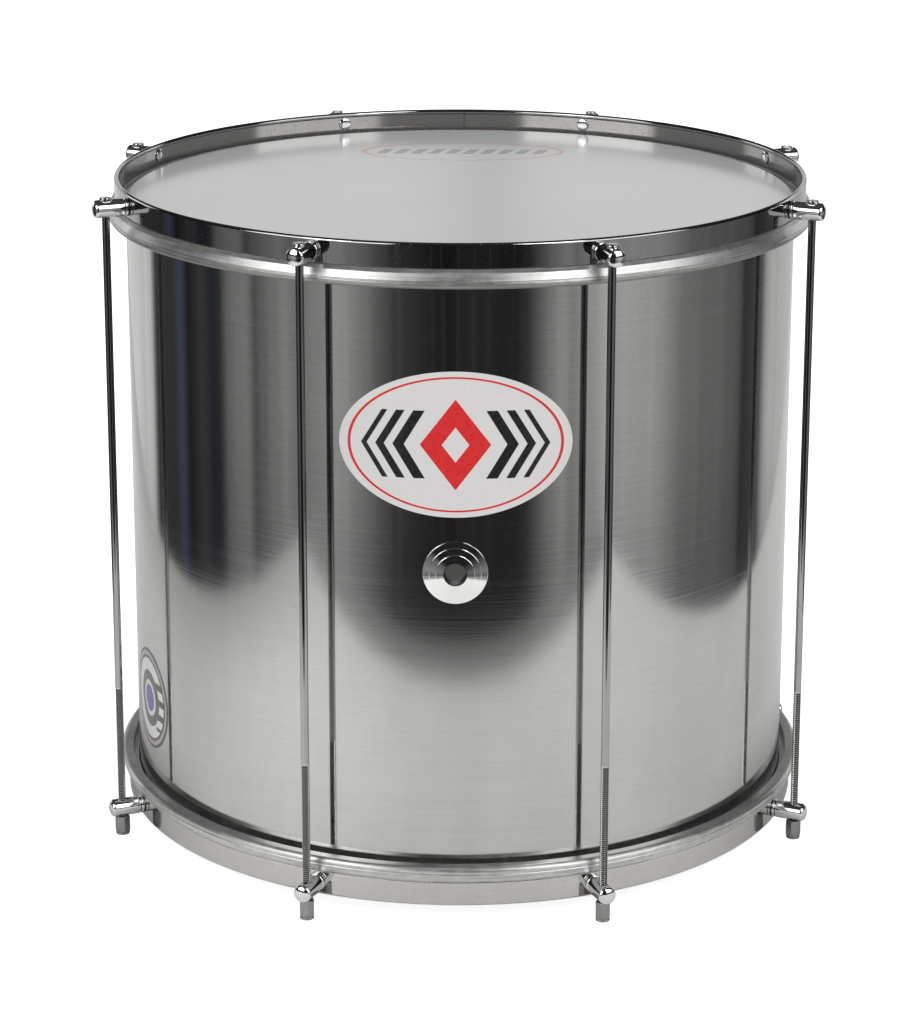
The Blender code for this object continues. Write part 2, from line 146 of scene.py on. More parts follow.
class Finish:
    """A procedural material."""

    def __init__(self, name, roughness=0.5, metallic=0.0, color=(0.8, 0.8, 0.8)):
        self.material = bpy.data.materials.new(name)
        self.material.use_nodes = True
        self.tree = self.material.node_tree
        self.shader = self.tree.nodes["Principled BSDF"]
        self.set("Roughness", roughness)
        self.set("Metallic", metallic)
        self.set("Base Color", (*color, 1.0))
        self.material.diffuse_color = (*color, 1.0)

    def set(self, name, value):
        """Give one of the shader's sockets a constant or a varying value."""
        if isinstance(value, Value):
            self.tree.links.new(value.socket, self.shader.inputs[name])
        else:
            self.shader.inputs[name].default_value = value

    def node(self, kind, settings=None, inputs=None, output=0):
        """A new node's output."""
        node = self.tree.nodes.new(kind)
        for name, value in (settings or {}).items():
            if name == "stops":
                self.fill_ramp(node.color_ramp, value)
            else:
                setattr(node, name, value)
        for name, value in (inputs or {}).items():
            if isinstance(value, Value):
                self.tree.links.new(value.socket, node.inputs[name])
            else:
                node.inputs[name].default_value = value
        return Value(self, node.outputs[output])

    def fill_ramp(self, ramp, stops):
        while len(ramp.elements) < len(stops):
            ramp.elements.new(0.5)
        for element, (place, color) in zip(ramp.elements, stops):
            element.position = place
            element.color = (*color, 1.0) if isinstance(color, tuple) else (color, color, color, 1.0)

    def maths(self, operation, first, second=0.0):
        return self.node("ShaderNodeMath", {"operation": operation}, {0: first, 1: second})

    def size(self, value):
        """A value without its sign."""
        return self.maths("ABSOLUTE", value)

    def reach(self, first, second):
        """The length of a line from its two parts at right angles."""
        return self.maths("SQRT", first * first + second * second)

    def step(self, value, low, high, out_low=0.0, out_high=1.0):
        """A smooth step of value from low to high."""
        return self.node(
            "ShaderNodeMapRange",
            {"interpolation_type": "SMOOTHSTEP"},
            {"Value": value, "From Min": low, "From Max": high, "To Min": out_low, "To Max": out_high},
        )

    def fall(self, value, low, high):
        """A smooth step down, 1 below low and 0 above high."""
        return self.step(value, low, high, 1.0, 0.0)

    def place(self, scale=(1, 1, 1), location=(0, 0, 0), turn=(0, 0, 0)):
        """Object coordinates, moved, turned and scaled."""
        where = self.node("ShaderNodeTexCoord", output=3)
        mapping = {"Vector": where, "Location": location, "Rotation": turn, "Scale": scale}
        return self.node("ShaderNodeMapping", {}, mapping)

    def part(self, axis, vector=None):
        """One part of a vector, or of the place itself in metres."""
        if vector is None:
            vector = self.place()
        return self.node("ShaderNodeSeparateXYZ", {}, {0: vector}, axis)

    def noise(self, vector, scale, detail=2.0, roughness=0.5):
        inputs = {"Vector": vector, "Scale": scale, "Detail": detail, "Roughness": roughness}
        return self.node("ShaderNodeTexNoise", {}, inputs)

    def speckle(self, scale, detail=2.0, roughness=0.5):
        """Noise with so many cells to the metre along each axis."""
        return self.noise(self.place(scale), 1.0, detail, roughness)

    def mix(self, factor, first, second, blend="MIX"):
        """Mix two colours."""
        inputs = {0: factor, 6: self.rgba(first), 7: self.rgba(second)}
        return self.node("ShaderNodeMix", {"data_type": "RGBA", "blend_type": blend}, inputs, 2)

    def rgba(self, color):
        return color if isinstance(color, Value) else (*color, 1.0)

    def bump(self, height, strength, distance):
        inputs = {"Height": height, "Strength": strength, "Distance": distance}
        self.set("Normal", self.node("ShaderNodeBump", {}, inputs))


def arc(centre_radius, centre_height, radius, start, end, steps):
    """Points of an arc. Angles are in degrees, 0 outward and 90 up."""
    angles = [math.radians(start + (end - start) * i / steps) for i in range(steps + 1)]
    return [(centre_radius + radius * math.cos(a), centre_height + radius * math.sin(a)) for a in angles]


def rounded(points, radii, steps=4, closed=True):
    """An outline with its corners rounded. radii gives each corner's radius, 0 for a sharp one."""
    result = []
    count = len(points)
    for i, (x, z) in enumerate(points):
        radius = radii[i]
        ends = not closed and i in (0, count - 1)
        if radius <= 0 or ends:
            result.append((x, z))
            continue
        corner = Vector((x, z))
        before = (Vector(points[i - 1]) - corner).normalized()
        after = (Vector(points[(i + 1) % count]) - corner).normalized()
        half = before.angle(after) / 2
        reach = radius / math.tan(half)
        centre = corner + (before + after).normalized() * (radius / math.sin(half))
        first = corner + before * reach - centre
        last = corner + after * reach - centre
        for k in range(steps + 1):
            spot = first.lerp(last, k / steps).normalized() * radius + centre
            result.append((spot.x, spot.y))
    return result


def rounded_corners(corners, closed=True):
    """An outline from corners that each give a radius, a height and how far the corner is rounded."""
    points = [corner[:2] for corner in corners]
    radii = [corner[2] for corner in corners]
    return rounded(points, radii, closed=closed)


def upside_down(outline):
    return [(radius, 2 * MIDDLE_Z - height) for radius, height in outline]


def turned(outline, steps=SMALL_STEPS):
    """Spin an outline in millimetres about Z into a closed bmesh in metres."""
    bm = bmesh.new()
    points = [bm.verts.new((radius * MM, 0, height * MM)) for radius, height in outline]
    edges = [bm.edges.new(pair) for pair in zip(points, points[1:])]
    if outline[0][0] > 0.0:
        edges.append(bm.edges.new((points[-1], points[0])))
    bmesh.ops.spin(
        bm,
        geom=points + edges,
        axis=(0, 0, 1),
        cent=(0, 0, 0),
        angle=2 * math.pi,
        steps=steps,
        use_merge=True,
    )
    return cleaned(bm)


def cleaned(bm):
    """Merge doubles and turn all faces outwards."""
    bmesh.ops.remove_doubles(bm, verts=bm.verts, dist=SAME_POINT)
    bmesh.ops.recalc_face_normals(bm, faces=bm.faces)
    return bm


def as_mesh(bm):
    mesh = bpy.data.meshes.new("mesh")
    bm.to_mesh(mesh)
    bm.free()
    return mesh


def rod_of(radius, low, high, steps=SMALL_STEPS):
    """A plain turned cutter or pin."""
    return as_mesh(turned([(0, low), (radius, low), (radius, high), (0, high)], steps))


def joined(meshes):
    bm = bmesh.new()
    for mesh in meshes:
        bm.from_mesh(mesh)
    return as_mesh(bm)


def combined(mesh, other, operation):
    """The Boolean of two closed meshes."""
    body = bpy.data.objects.new("body", mesh)
    tool = bpy.data.objects.new("tool", other)
    bpy.context.scene.collection.objects.link(body)
    bpy.context.scene.collection.objects.link(tool)
    boolean = body.modifiers.new("boolean", "BOOLEAN")
    boolean.operation = operation
    boolean.solver = "EXACT"
    boolean.object = tool
    evaluated = body.evaluated_get(bpy.context.evaluated_depsgraph_get())
    result = bpy.data.meshes.new_from_object(evaluated)
    bpy.data.objects.remove(body)
    bpy.data.objects.remove(tool)
    return result


def copy_at(mesh, matrix):
    result = mesh.copy()
    result.transform(matrix)
    return result


def dress(name, mesh, finish, body, slot, *nodes):
    """Show a mesh as a piece that rides on a body in place of CAD nodes."""
    mesh.name = name
    mesh.materials.clear()
    mesh.materials.append(finish.material)
    mesh.shade_smooth()
    mesh.set_sharp_from_angle(angle=SHARP_ANGLE)
    thing = bpy.data.objects.new(name, mesh)
    shading = thing.modifiers.new("shading", "WEIGHTED_NORMAL")
    shading.keep_sharp = True
    bpy.context.scene.collection.objects.link(thing)
    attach(thing, body)
    if nodes:
        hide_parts(*nodes)


def rod_angles():
    """Angles of the rods about +Z, from the vent's side."""
    return [2 * math.pi * (i + 0.5) / ROD_COUNT for i in range(ROD_COUNT)]


def on_rod_circle(angle, height, over=False):
    """Where a post, rod or nut stands. An upside-down piece is turned over."""
    spot = Matrix.Rotation(angle, 4, "Z") @ Matrix.Translation((0, -ROD_CIRCLE_RADIUS * MM, height * MM))
    return spot @ Matrix.Rotation(math.pi, 4, "Y") if over else spot


def front_at(height):
    """Turns a shape's axis to the front at a height."""
    return Matrix.Translation((0, 0, height * MM)) @ Z_TO_FRONT


def brushed_shell():
    """Polished aluminium with hairlines that run round the drum, scuffed just above the lower hoop."""
    finish = Finish("shell_metal", 0.1, 1.0, (0.555, 0.55, 0.535))
    finish.set("Anisotropic", 0.6)
    finish.set("Anisotropic Rotation", 0.25)
    hairlines = finish.speckle((2, 2, 2400), 3.0, 0.6)
    clouds = finish.speckle((9, 9, 5))
    smudges = finish.speckle((28, 28, 7), 4.0, 0.6)
    finish.set("Roughness", finish.step(hairlines + 0.4 * clouds, 0.4, 1.0, 0.06, 0.12))
    rubbed = finish.speckle((30, 30, 700), 4.0, 0.7)
    grain = finish.speckle((1100, 1100, 1600), 2.0, 0.6)
    shade = finish.step(0.3 * hairlines + 0.2 * rubbed + 0.25 * smudges + 0.25 * grain, 0.38, 0.62)
    plain = finish.mix(shade, (0.51, 0.505, 0.492), (0.595, 0.59, 0.577))
    near_foot = finish.fall(finish.part(Z), 0.032, 0.056)
    scuffed = finish.step(rubbed + 0.3 * smudges, 0.62, 0.78) * near_foot
    finish.set("Base Color", finish.mix(0.75 * scuffed, plain, (0.16, 0.16, 0.158)))
    finish.bump(hairlines, 0.06, 0.00004)
    return finish


def wiping_marks(finish, scale=(60, 60, 60)):
    """The faint smears on bright plating."""
    return finish.speckle(scale, 4.0, 0.6)


def smeared(finish, marks, low, high):
    """A roughness that goes from low to high with the wiping marks."""
    return finish.step(marks, 0.35, 0.75, low, high)


def mirror_chrome(name, roughness, color):
    """Bright plating with faint wiping marks."""
    finish = Finish(name, roughness, 1.0, color)
    marks = wiping_marks(finish)
    finish.set("Roughness", smeared(finish, marks, roughness, roughness + 0.08))
    dimmed = tuple(0.93 * part for part in color)
    finish.set("Base Color", finish.mix(marks, color, dimmed))
    return finish


def vent_chrome():
    """The vent's bright plating, dull within its bore, with painted shade there."""
    finish = Finish("vent_chrome", 0.03, 1.0, (0.95, 0.94, 0.925))
    where = finish.place(location=(0, 0, -VENT_Z * MM))
    from_axis = finish.reach(finish.part(X, where), finish.part(Z, where))
    bore = finish.fall(from_axis, (VENT_BORE_RADIUS + 0.1) * MM, (VENT_BORE_RADIUS + 0.4) * MM)
    finish.set("Roughness", smeared(finish, wiping_marks(finish), 0.02, 0.05) + 0.5 * bore)
    # Painted shade: the bore is coloured nearly black.
    finish.set("Base Color", finish.mix(bore, (0.94, 0.93, 0.915), (0.1, 0.1, 0.1)))
    return finish


def rolled_band():
    """A slightly yellowed, finely pitted plated band with its weld at the back, and painted shade that
    darkens the upper band and its inner face below the hem.
    """
    finish = Finish("band_chrome", 0.05, 1.0, (0.6, 0.585, 0.57))
    marks = wiping_marks(finish)
    pits = finish.fall(finish.speckle((900, 900, 900)), 0.3, 0.38)
    scuffs = finish.speckle((500, 500, 900), 3.0, 0.7)
    x = finish.part(X)
    y = finish.part(Y)
    z = finish.part(Z)
    edge = (UPPER_EDGE_Z - MIDDLE_Z) * MM
    from_middle = finish.size(z - MIDDLE_Z * MM)
    below_hem = finish.fall(from_middle, edge - 0.0045, edge - 0.0038)
    inner = BAND_INNER_RADIUS * MM
    inside = finish.fall(finish.reach(x, y), inner + 0.0002, inner + 0.0006) * below_hem
    foot = finish.fall(from_middle - 0.003 * scuffs, edge - 0.0195, edge - 0.0185)
    upper = finish.maths("GREATER_THAN", z, MIDDLE_Z * MM)
    seam = finish.fall(finish.size(x), 0.0003, 0.0009) * finish.maths("GREATER_THAN", y, 0.1)
    polished = smeared(finish, marks, 0.02, 0.07)
    finish.set("Roughness", polished + 0.25 * pits + 0.3 * foot + 0.06 * inside)
    plain = finish.mix(marks, (0.63, 0.615, 0.6), (0.56, 0.545, 0.53))
    # Painted shade: the upper band is darker than the lower one.
    plain = finish.mix(upper * (1 - inside), plain, (0.35, 0.345, 0.34))
    # Painted shade on the band's inner face below the hem.
    plain = finish.mix(0.5 * inside, plain, (0.12, 0.118, 0.115))
    pitted = finish.mix(0.5 * pits, plain, (0.3, 0.29, 0.28))
    finish.set("Base Color", finish.mix(0.7 * seam, pitted, (0.2, 0.19, 0.18)))
    finish.bump(pits + seam + scuffs * foot, 0.2, 0.00004)
    return finish


def threaded_chrome():
    """A plated rod with painted shade on its upper half, a bright head, and painted shade and highlight in
    its thread: dark roots, pale crests.
    """
    finish = Finish("rod_chrome", 0.05, 1.0, (0.43, 0.425, 0.42))
    height = finish.part(Z)
    thread_top = ROD_END_Z + THREAD_LENGTH
    thread = finish.fall(height, (thread_top - 0.5) * MM, (thread_top + 1.0) * MM)
    marks = wiping_marks(finish, (80, 80, 50))
    head = finish.step(height, (UPPER_POST_Z + 2.5) * MM, (UPPER_POST_Z + 3.0) * MM)
    finish.set("Roughness", smeared(finish, marks, 0.02, 0.07) + 0.1 * thread)
    plain = finish.mix(marks, (0.44, 0.437, 0.433), (0.38, 0.377, 0.373))
    # Painted shade: the upper half of each rod is darker.
    plain = finish.mix(finish.step(height, 0.2, 0.33), plain, (0.2, 0.197, 0.193))
    plain = finish.mix(head, plain, (0.76, 0.765, 0.77))
    crests = finish.step(rod_distance(finish), (THREAD_CORE + 0.05) * MM, (THREAD_CREST - 0.2) * MM)
    # Painted shade in the thread's roots and painted highlight on its crests.
    painted_thread_shading = finish.mix(crests, (0.05, 0.05, 0.048), (0.62, 0.615, 0.6))
    finish.set("Base Color", finish.mix(thread, plain, painted_thread_shading))
    return finish


def rod_distance(finish):
    """How far a place is from the axis of the nearest rod, in metres."""
    x = finish.part(X)
    y = finish.part(Y)
    radius = finish.reach(x, y)
    half_step = math.pi / ROD_COUNT
    beside = half_step - finish.maths("PINGPONG", finish.maths("ARCTAN2", x, y), half_step)
    sideways = radius * finish.maths("SINE", beside)
    outwards = radius * finish.maths("COSINE", beside) - ROD_CIRCLE_RADIUS * MM
    return finish.reach(sideways, outwards)


def scratched_aluminium():
    """Bare rolled aluminium, dull, chalky and scratched along its length, with painted shade along its under
    face's corner, fainter on the lower hoop.
    """
    finish = Finish("bare_aluminium", 0.4, 0.9, (0.7, 0.695, 0.685))
    finish.set("Anisotropic", 0.5)
    finish.set("Anisotropic Rotation", 0.25)
    scratches = finish.speckle((14, 14, 1400), 4.0, 0.65)
    spots = finish.speckle((120, 120, 160), 3.0, 0.6)
    finish.set("Roughness", finish.step(scratches + 0.5 * spots, 0.4, 1.1, 0.28, 0.5))
    worn = finish.step(0.7 * scratches + 0.3 * spots, 0.35, 0.65)
    plain = finish.mix(worn, (0.46, 0.455, 0.445), (0.74, 0.735, 0.725))
    height = finish.part(Z)
    from_middle = finish.size(height - MIDDLE_Z * MM)
    under = (FLESH_UNDER_Z - MIDDLE_Z) * MM
    # Painted shade along the under face and its round corner, a quarter as strong on the lower hoop.
    corner = finish.step(from_middle + 0.002 * (scratches - 0.5), under + 0.001, under + 0.005, 0.8, 0.0)
    upper = finish.step(height, 0.2, 0.3, 0.25, 1.0)
    finish.set("Base Color", finish.mix(corner * upper, plain, (0.2, 0.195, 0.185)))
    finish.bump(scratches, 0.3, 0.0001)
    return finish


def satin_zinc():
    """Zinc plating, dull and slightly mottled."""
    finish = Finish("zinc", 0.4, 1.0, (0.44, 0.44, 0.43))
    mottle = finish.speckle((700, 700, 700), 3.0, 0.6)
    patches = finish.speckle((150, 150, 110))
    finish.set("Roughness", finish.step(mottle + patches, 0.6, 1.4, 0.25, 0.45))
    finish.set("Base Color", finish.mix(patches, (0.28, 0.28, 0.27), (0.38, 0.38, 0.37)))
    finish.bump(mottle, 0.2, 0.00006)
    return finish


def milky_head():
    """Milky polyester film with faint handling marks."""
    finish = Finish("milky_film", 0.16, 0.0, (0.59, 0.59, 0.588))
    finish.set("IOR", 1.6)
    grain = finish.speckle((500, 500, 500), 3.0, 0.6)
    clouds = finish.speckle((7, 7, 7), 3.0, 0.6)
    plain = finish.mix(clouds, (0.475, 0.475, 0.473), (0.5, 0.5, 0.498))
    finish.set("Base Color", faint_print(finish, plain))
    finish.set("Roughness", finish.step(clouds + 0.3 * grain, 0.4, 1.0, 0.14, 0.19))
    finish.bump(grain, 0.04, 0.00004)
    return finish


def faint_print(finish, plain):
    """A thin orange oval with slanted grey bars, printed near the back of the upper head."""
    where = finish.place(location=(0, -0.153, 0))
    across = finish.part(X, where)
    along = finish.part(Y, where)
    upper = finish.maths("GREATER_THAN", finish.part(Z, where), 0.4)
    radius = finish.reach(across / 0.083, along / 0.038)
    line = finish.step(radius, 0.93, 0.95) * finish.fall(radius, 0.98, 1.0) * upper
    bars = finish.step(finish.maths("PINGPONG", across - 0.35 * along, 0.007), 0.0026, 0.003)
    row = finish.fall(finish.size(along), 0.0095, 0.01)
    short = finish.fall(finish.size(across), 0.068, 0.0685)
    printed = finish.mix(0.7 * bars * row * short * upper, plain, (0.17, 0.16, 0.16))
    return finish.mix(0.65 * line, printed, (0.5, 0.17, 0.08))


def printed_plate(name, turn, height, half_width, half_height, motif):
    """A printed face. motif colours it from places across and up it in millimetres and a unit radius."""
    finish = Finish(name, 0.3, 0.0, (0.8, 0.79, 0.78))
    finish.set("Coat Weight", 0.3)
    where = finish.place(location=(0, 0, -height * MM), turn=(0, 0, math.radians(-turn)))
    across = finish.part(X, where) / MM
    up = finish.part(Z, where) / MM
    radius = finish.reach(across / half_width, up / half_height)
    printed = motif(finish, across, up, radius)
    wear = finish.speckle((300, 300, 300), 4.0, 0.7)
    finish.set("Base Color", finish.mix(0.04 * wear, printed, (0.5, 0.49, 0.48)))
    finish.set("Roughness", finish.step(wear, 0.3, 0.7, 0.25, 0.4))
    return finish


def lozenge_motif(finish, across, up, radius):
    """A red lozenge between black chevrons, inside a thin red line."""
    sideways = finish.size(across)
    upright = finish.size(up)
    lozenge = sideways / 25 + upright / 33
    colour = finish.mix(finish.step(lozenge, 0.99, 1.0), RED, WHITE)
    colour = finish.mix(finish.step(lozenge, 0.38, 0.39), WHITE, colour)
    fold = sideways + 0.6 * upright
    short = finish.fall(upright, 24.4, 24.6)
    within = finish.fall(radius, 0.84, 0.845)
    for low, high in ((36, 44), (50, 56), (62, 66)):
        bar = finish.step(fold, low - 0.2, low + 0.2) * finish.fall(fold, high - 0.2, high + 0.2)
        colour = finish.mix(bar * short * within, colour, BLACK)
    line = finish.step(radius, 0.9, 0.903) * finish.fall(radius, 0.925, 0.928)
    return finish.mix(line, colour, RED)


def wheel_motif(finish, across, up, radius):
    """A grey wheel with a violet hub, green rungs on one side and two thin dark rims."""
    wheel = (0.06, 0.06, 0.06)
    violet = (0.08, 0.05, 0.33)
    green = (0.012, 0.06, 0.012)
    border = (0.33, 0.31, 0.3)
    dark = (0.03, 0.012, 0.018)
    colour = finish.mix(finish.step(radius, 0.56, 0.57), wheel, WHITE)
    colour = finish.mix(finish.step(radius, 0.36, 0.37), WHITE, colour)
    colour = finish.mix(finish.step(radius, 0.27, 0.28), violet, colour)
    rungs = finish.step(finish.maths("PINGPONG", up + 3.0, 6.0), 3.2, 3.4)
    beside = finish.step(across, 15.0, 15.3) * finish.fall(finish.size(up), 21, 21.3)
    band = beside * finish.step(radius, 0.56, 0.57) * finish.fall(radius, 0.82, 0.83)
    colour = finish.mix(rungs * band, colour, green)
    colour = finish.mix(finish.step(radius, 0.83, 0.835), colour, border)
    for rim in (0.8, 0.94):
        line = finish.step(radius, rim, rim + 0.008) * finish.fall(radius, rim + 0.055, rim + 0.063)
        colour = finish.mix(line, colour, dark)
    return colour


def build_shell(finish):
    """The wall with its rolled lips, and the hole for the vent's neck."""
    tail = LIP_CENTRE_RADIUS - 4
    roll = arc(LIP_CENTRE_RADIUS, LIP_CENTRE_Z, LIP_RADIUS, 0, 90, 8)
    roll.append((tail, SHELL_TOP_Z - 1.4))
    inside = arc(LIP_CENTRE_RADIUS, LIP_CENTRE_Z, LIP_RADIUS - SHELL_WALL, 0, 90, 8)
    inside.append((tail, SHELL_TOP_Z - 1.4 - SHELL_WALL))
    top = roll + inside[::-1]
    foot = [(radius, SHELL_TOP_Z + SHELL_FOOT_Z - height) for radius, height in top[::-1]]
    wall = as_mesh(turned(top + foot, RING_STEPS))
    hole = rod_of(VENT_NECK_RADIUS + CLEARANCE, 200, 300)
    hole.transform(front_at(VENT_Z))
    dress("drum_shell", combined(wall, hole, "DIFFERENCE"), finish, "drum", "shell_metal", "shell")


def head_outline():
    """The film: over the shell's lip, down, and out to its bead in the flesh hoop."""
    flat_radius = 240
    under = UPPER_HEAD_Z - FILM_THICKNESS
    outer_bend = FILM_RADIUS - LIP_CENTRE_RADIUS
    inner_bend = outer_bend - FILM_THICKNESS
    turn_down = UPPER_HEAD_Z - 7.2
    fold_radius = FILM_RADIUS + 1.2
    fold_z = turn_down + 1.0
    points = [(0, UPPER_HEAD_Z), (flat_radius / 2, UPPER_HEAD_Z), (flat_radius, UPPER_HEAD_Z)]
    points += arc(LIP_CENTRE_RADIUS, LIP_CENTRE_Z, outer_bend, 90, 0, 8)
    points += arc(fold_radius, fold_z, 1.2, 180, 250, 3)
    points += arc(FILM_RADIUS + 5.2, turn_down - 0.2, 1.1, 150, -150, 8)
    points += arc(fold_radius, fold_z, 1.2 + FILM_THICKNESS, 250, 180, 3)
    points += arc(LIP_CENTRE_RADIUS, LIP_CENTRE_Z, inner_bend, 0, 90, 8)
    points += [(flat_radius, under), (0, under)]
    return points


def flesh_hoop_outline():
    """A ledge, a leaning face, a groove and a round corner outside, and the bead's channel inside."""
    ledge = FLESH_LEDGE_Z
    under = FLESH_UNDER_Z
    outer = FLESH_HOOP_RADIUS
    channel = UPPER_HEAD_Z - 7.4
    channel_depth = FILM_RADIUS + 6.6
    half_channel = 1.4
    corners = [
        (FLESH_HOOP_INNER, ledge, 0.3),
        (BAND_RADIUS + CLEARANCE, ledge, 0.3),
        (outer - 2.2, ledge - 2.2, 0.8),
        (outer - 0.4, ledge - 7.4, 0.4),
        (outer - 0.9, ledge - 8.0, 0.3),
        (outer, ledge - 8.7, 0.6),
        (outer, under, 3.4),
        (FLESH_HOOP_INNER, under, 0.5),
        (FLESH_HOOP_INNER, channel - half_channel, 0),
        (channel_depth, channel - half_channel, 0),
        (channel_depth, channel + half_channel, 0),
        (FLESH_HOOP_INNER, channel + half_channel, 0),
    ]
    return rounded_corners(corners)


def band_outline():
    """A flat band whose upper edge is rolled inwards into a hem."""
    foot = UPPER_EDGE_Z - BAND_HEIGHT
    hem = arc(BAND_RADIUS - 2, UPPER_EDGE_Z - 2, 2, 0, 262, 16)
    hem_tip = (BAND_INNER_RADIUS - 0.25, UPPER_EDGE_Z - 3.95)
    hem_root = (BAND_INNER_RADIUS, UPPER_EDGE_Z - 4.2)
    corners = [(BAND_INNER_RADIUS, foot), (BAND_RADIUS, foot)]
    start = rounded([hem_root] + corners + [hem[0]], [0, 0.4, 0.4, 0], closed=False)
    return start[1:-1] + hem + [hem_tip, hem_root]


def build_rings(film, flesh_metal, band_metal):
    """Heads, flesh hoops and counterhoops, each at the top and upside down at the foot."""
    for end, body, flip in (("top", "top_hoop", False), ("bottom", "drum", True)):
        outlines = [head_outline(), flesh_hoop_outline(), band_outline()]
        if flip:
            outlines = [upside_down(outline) for outline in outlines]
        film_mesh, flesh_mesh, band_mesh = [as_mesh(turned(outline, RING_STEPS)) for outline in outlines]
        post_z = LOWER_POST_Z if flip else UPPER_POST_Z
        drill = rod_of(TENON_RADIUS + CLEARANCE, 240, 290, PIN_STEPS)
        holes = [copy_at(drill, Matrix.Rotation(angle, 4, "Z") @ front_at(post_z)) for angle in rod_angles()]
        band_mesh = combined(band_mesh, joined(holes), "DIFFERENCE")
        dress(f"{end}_film", film_mesh, film, "drum", "milky_film", f"{end}_head")
        dress(f"{end}_flesh_ring", flesh_mesh, flesh_metal, "drum", "bare_aluminium", f"{end}_flesh_hoop")
        dress(f"{end}_band", band_mesh, band_metal, body, "chrome", f"{end}_counterhoop")


def post_shape():
    """A post that points to the front, with its origin where its axis crosses the rod's."""
    inner = BAND_INNER_RADIUS - CLEARANCE - ROD_CIRCLE_RADIUS
    foot = 2.8 - BAND_TO_ROD
    outline = [(0, inner - 1.3), (2.5, inner - 1.25), (4.2, inner - 1.0)]
    outline += arc(4.6, inner - 0.4, 0.4, -60, 60, 4)
    outline += [(TENON_RADIUS, inner), (TENON_RADIUS, foot), (4.6, foot)]
    outline += arc(5.4, foot + 1.3, 1.3, -90, 0, 6)
    outline += [(POST_RADIUS, foot + 5), (POST_RADIUS, 0)]
    outline += arc(4.1, 6.5, 2.6, 0, 62, 8)
    outline += arc(0, -1.21, 11.333, 62, 90, 10)[1:]
    body = as_mesh(turned(outline))
    body.transform(Z_TO_FRONT)
    seat = POST_RADIUS - SEAT_DEPTH
    seat_radius = 4.9
    past = 30
    hole = [(0, -past), (ROD_HOLE_RADIUS, -past), (ROD_HOLE_RADIUS, seat)]
    hole += [(seat_radius, seat), (seat_radius, past), (0, past)]
    return combined(body, as_mesh(turned(hole, HOLE_STEPS)), "DIFFERENCE")


def washer_shape():
    """A washer that points to the front, with the post's origin."""
    hole = TENON_RADIUS + CLEARANCE
    near = CLEARANCE - BAND_TO_ROD
    far = near + 2.2
    corners = [(hole, near, 0.2), (POST_RADIUS, near, 0.7), (POST_RADIUS, far, 0.7), (hole, far, 0.2)]
    mesh = as_mesh(turned(rounded_corners(corners)))
    mesh.transform(Z_TO_FRONT)
    return mesh


def thread_shape():
    """A right-hand thread: its profile is spun upwards, then cut square at both ends."""
    steps_per_turn = 12
    turns = math.ceil(THREAD_LENGTH / THREAD_PITCH) + 2
    bm = bmesh.new()
    profile = [(THREAD_CORE, 0.0), (THREAD_CREST, 0.42), (THREAD_CREST, 0.56), (THREAD_CORE, 1.0)]
    points = [
        bm.verts.new((radius * MM, 0, (pitches - 1.2) * THREAD_PITCH * MM)) for radius, pitches in profile
    ]
    edges = [bm.edges.new(pair) for pair in zip(points, points[1:])]
    bmesh.ops.spin(
        bm,
        geom=points + edges,
        axis=(0, 0, 1),
        cent=(0, 0, 0),
        dvec=(0, 0, THREAD_PITCH * MM / steps_per_turn),
        angle=2 * math.pi * turns,
        steps=steps_per_turn * turns,
        use_merge=False,
    )
    bmesh.ops.remove_doubles(bm, verts=bm.verts, dist=SAME_THREAD_POINT)
    for height, side in ((0.4, -1), (THREAD_LENGTH, 1)):
        level = height * MM
        bmesh.ops.bisect_plane(
            bm,
            geom=bm.verts[:] + bm.edges[:] + bm.faces[:],
            dist=0.0000001,
            plane_co=(0, 0, level),
            plane_no=(0, 0, side),
            clear_outer=True,
        )
        open_edges = [edge for edge in bm.edges if edge.is_boundary]
        rim = [edge for edge in open_edges if abs(edge.verts[0].co.z - level) < SAME_THREAD_POINT]
        bmesh.ops.holes_fill(bm, edges=rim, sides=0)
    return as_mesh(cleaned(bm))


def rod_shape():
    """A rod with its origin at its threaded end: thread, shank and slotted head."""
    seat = UPPER_POST_Z + POST_RADIUS - SEAT_DEPTH + CLEARANCE - ROD_END_Z
    top = seat + 2.4
    low = THREAD_LENGTH - 0.5
    shank = [(0, low), (ROD_RADIUS - 0.05, low), (ROD_RADIUS, low + 1.5), (ROD_RADIUS, seat), (0, seat)]
    head = [(0, seat - 0.01), (ROD_HEAD_RADIUS, seat - 0.01)]
    head += arc(ROD_HEAD_RADIUS - 0.6, top - 0.7, 0.6, 0, 70, 5)
    head += [(3.7, top - 0.07), (1.5, top), (0, top)]
    slot = bmesh.new()
    bmesh.ops.create_cube(slot, size=MM)
    bmesh.ops.scale(slot, vec=(1.4, 20, 2.4), verts=slot.verts)
    bmesh.ops.translate(slot, vec=(0, 0, top * MM), verts=slot.verts)
    head_mesh = combined(as_mesh(turned(head)), as_mesh(slot), "DIFFERENCE")
    tip = as_mesh(turned([(0, 0), (THREAD_CORE, 0), (2.6, 0.5), (0, 0.5)], PIN_STEPS))
    return joined([tip, thread_shape(), as_mesh(turned(shank)), head_mesh])


def nut_shape():
    """A long hexagonal nut on a round collar."""
    corner = NUT_FLATS / math.sqrt(3)
    low = 0.9
    hexagon = as_mesh(turned([(0, low), (corner, low), (corner, NUT_HEIGHT), (0, NUT_HEIGHT)], 6))
    soft = [(0, low), (4.7, low), (4.7, 1.8), (5.8, 2.9), (5.8, 13.5), (4.9, NUT_HEIGHT), (0, NUT_HEIGHT)]
    body = combined(hexagon, as_mesh(turned(soft)), "INTERSECT")
    collar = rounded_corners([(0, 0, 0), (5.2, 0, 0.3), (5.2, 1.8, 0.5), (0, 1.8, 0)], closed=False)
    body = combined(body, as_mesh(turned(collar)), "UNION")
    bore = [(0, -1), (3.9, -1), (ROD_HOLE_RADIUS, 0.6), (ROD_HOLE_RADIUS, 13.9), (3.9, 15.5), (0, 15.5)]
    return combined(body, as_mesh(turned(bore)), "DIFFERENCE")


